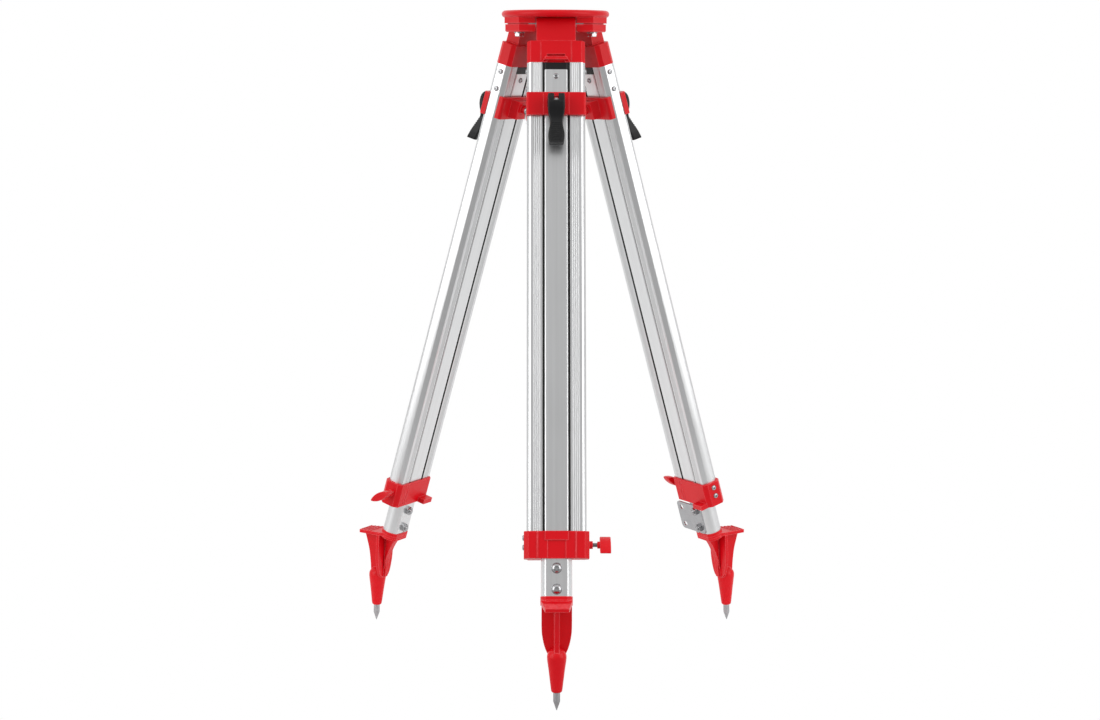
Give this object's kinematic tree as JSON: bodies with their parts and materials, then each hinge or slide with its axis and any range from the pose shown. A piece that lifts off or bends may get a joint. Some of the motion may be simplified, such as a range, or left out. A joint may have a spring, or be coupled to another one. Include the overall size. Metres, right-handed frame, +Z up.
{
  "type": "surveyor tripod",
  "caption": "Surveyor's tripod with a flat round head, hinged telescopic aluminium legs, cam and screw clamps, and spiked treaded feet.",
  "frame": {"origin": "point on the ground below the middle of the head, level with the three spike tips", "axes": "+Z up through the middle of the head; the front leg points to -Y and the others to the right rear and left rear"},
  "size_m": [0.641, 0.5752, 1.0043],
  "materials": {
    "red_casting": "satin",
    "red_moulding": "satin",
    "satin_aluminium": "satin",
    "bright_steel": "gloss",
    "brass": "satin",
    "black_plastic": "satin",
    "zinc_plated_steel": "satin"
  },
  "bodies": {
    "head": {"head_plate": "red_casting", "hinge_caps": "red_casting", "hinge_pins": "bright_steel", "cap_bolts": "bright_steel", "arm_pivot": "bright_steel"},
    "arm": {"swing_arm": "zinc_plated_steel"},
    "carriage": {"screw_carriage": "zinc_plated_steel"},
    "bush": {"screw_bush": "brass"},
    "screw": {"fixing_screw": "brass", "screw_knob": "black_plastic", "plumb_hook": "bright_steel"},
    "leg_front": {"hinge_casting_front": "red_moulding", "side_rails_front": "satin_aluminium", "rail_screws_front": "bright_steel", "lower_clamp_front": "red_moulding"},
    "extension_front": {"inner_tube_front": "satin_aluminium", "slide_guide_front": "black_plastic", "foot_front": "red_casting", "spike_front": "bright_steel", "tube_fasteners_front": "bright_steel", "front_jaw_front": "red_moulding"},
    "jaw_front": {"rear_jaw_front": "red_moulding", "clamp_bolt_front": "bright_steel"},
    "lever_front": {"cam_lever_front": "black_plastic"},
    "wing_nut_front": {"wing_nut_front": "bright_steel"},
    "clamp_knob_front": {"clamp_screw_front": "bright_steel", "wing_knob_front": "red_moulding"},
    "leg_left": {"hinge_casting_left": "red_moulding", "side_rails_left": "satin_aluminium", "rail_screws_left": "bright_steel", "lower_clamp_left": "red_moulding"},
    "extension_left": {"inner_tube_left": "satin_aluminium", "slide_guide_left": "black_plastic", "foot_left": "red_casting", "spike_left": "bright_steel", "tube_fasteners_left": "bright_steel", "front_jaw_left": "red_moulding"},
    "jaw_left": {"rear_jaw_left": "red_moulding", "clamp_bolt_left": "bright_steel"},
    "lever_left": {"cam_lever_left": "black_plastic"},
    "wing_nut_left": {"wing_nut_left": "bright_steel"},
    "clamp_knob_left": {"clamp_screw_left": "bright_steel", "wing_knob_left": "red_moulding"},
    "leg_right": {"hinge_casting_right": "red_moulding", "side_rails_right": "satin_aluminium", "rail_screws_right": "bright_steel", "lower_clamp_right": "red_moulding"},
    "extension_right": {"inner_tube_right": "satin_aluminium", "slide_guide_right": "black_plastic", "foot_right": "red_casting", "spike_right": "bright_steel", "tube_fasteners_right": "bright_steel", "front_jaw_right": "red_moulding", "strap_bracket": "bright_steel"},
    "jaw_right": {"rear_jaw_right": "red_moulding", "clamp_bolt_right": "bright_steel"},
    "lever_right": {"cam_lever_right": "black_plastic"},
    "wing_nut_right": {"wing_nut_right": "bright_steel"},
    "clamp_knob_right": {"clamp_screw_right": "bright_steel", "wing_knob_right": "red_moulding"}
  },
  "joints": [
    {"name": "arm_swing", "type": "hinge", "parent": "head", "child": "arm", "pos_m": [0, 0.045, 0.968], "axis": [0, 0, 1], "range_deg": [-16, 16]},
    {"name": "carriage_slide", "type": "slide", "parent": "arm", "child": "carriage", "axis": [0, 1, 0], "range_m": [-0.012, 0.012]},
    {"name": "screw_lift", "type": "slide", "parent": "carriage", "child": "bush", "axis": [0, 0, 1], "range_m": [0, 0.012]},
    {"name": "screw_turn", "type": "hinge", "parent": "bush", "child": "screw", "pos_m": [0, 0, 0.96], "axis": [0, 0, 1], "continuous": true},
    {"name": "leg_swing_front", "type": "hinge", "parent": "head", "child": "leg_front", "pos_m": [0, -0.052, 0.9838], "axis": [-1, 0, 0], "range_deg": [-15.3, 33]},
    {"name": "leg_slide_front", "type": "slide", "parent": "leg_front", "child": "extension_front", "axis": [0, -0.29, -0.957], "range_m": [0, 0.57]},
    {"name": "cam_lever_front", "type": "hinge", "parent": "jaw_front", "child": "lever_front", "pos_m": [0, -0.11551, 0.87076], "axis": [-1, 0, 0], "range_deg": [0, 100]},
    {"name": "jaw_slide_front", "type": "slide", "parent": "extension_front", "child": "jaw_front", "axis": [0, 0.957, -0.29], "range_m": [0, 0.0013]},
    {"name": "wing_nut_front", "type": "hinge", "parent": "jaw_front", "child": "wing_nut_front", "pos_m": [0, -0.04852, 0.85046], "axis": [0, 0.957, -0.29], "range_deg": [-30, 30]},
    {"name": "knob_turn_front", "type": "hinge", "parent": "leg_front", "child": "clamp_knob_front", "pos_m": [0.06, -0.27843, 0.22976], "axis": [1, 0, 0], "range_deg": [0, 540]},
    {"name": "leg_swing_left", "type": "hinge", "parent": "head", "child": "leg_left", "pos_m": [-0.04503, 0.026, 0.9838], "axis": [0.5, 0.866, 0], "range_deg": [-15.3, 33]},
    {"name": "leg_slide_left", "type": "slide", "parent": "leg_left", "child": "extension_left", "axis": [-0.2512, 0.145, -0.957], "range_m": [0, 0.57]},
    {"name": "cam_lever_left", "type": "hinge", "parent": "jaw_left", "child": "lever_left", "pos_m": [-0.10004, 0.05776, 0.87076], "axis": [0.5, 0.866, 0], "range_deg": [0, 100]},
    {"name": "jaw_slide_left", "type": "slide", "parent": "extension_left", "child": "jaw_left", "axis": [0.8288, -0.4785, -0.29], "range_m": [0, 0.0013]},
    {"name": "wing_nut_left", "type": "hinge", "parent": "jaw_left", "child": "wing_nut_left", "pos_m": [-0.04202, 0.02426, 0.85046], "axis": [0.8288, -0.4785, -0.29], "range_deg": [-30, 30]},
    {"name": "knob_turn_left", "type": "hinge", "parent": "leg_left", "child": "clamp_knob_left", "pos_m": [-0.27113, 0.08725, 0.22976], "axis": [-0.5, -0.866, 0], "range_deg": [0, 540]},
    {"name": "leg_swing_right", "type": "hinge", "parent": "head", "child": "leg_right", "pos_m": [0.04503, 0.026, 0.9838], "axis": [0.5, -0.866, 0], "range_deg": [-15.3, 33]},
    {"name": "leg_slide_right", "type": "slide", "parent": "leg_right", "child": "extension_right", "axis": [0.2512, 0.145, -0.957], "range_m": [0, 0.57]},
    {"name": "cam_lever_right", "type": "hinge", "parent": "jaw_right", "child": "lever_right", "pos_m": [0.10004, 0.05776, 0.87076], "axis": [0.5, -0.866, 0], "range_deg": [0, 100]},
    {"name": "jaw_slide_right", "type": "slide", "parent": "extension_right", "child": "jaw_right", "axis": [-0.8288, -0.4785, -0.29], "range_m": [0, 0.0013]},
    {"name": "wing_nut_right", "type": "hinge", "parent": "jaw_right", "child": "wing_nut_right", "pos_m": [0.04202, 0.02426, 0.85046], "axis": [-0.8288, -0.4785, -0.29], "range_deg": [-30, 30]},
    {"name": "knob_turn_right", "type": "hinge", "parent": "leg_right", "child": "clamp_knob_right", "pos_m": [0.21113, 0.19118, 0.22976], "axis": [-0.5, 0.866, 0], "range_deg": [0, 540]}
  ],
  "couplings": [
    {"joint": "jaw_slide_front", "follows": "cam_lever_front", "m_per_rad": 0.00068755},
    {"joint": "jaw_slide_left", "follows": "cam_lever_left", "m_per_rad": 0.00068755},
    {"joint": "jaw_slide_right", "follows": "cam_lever_right", "m_per_rad": 0.00068755}
  ]
}
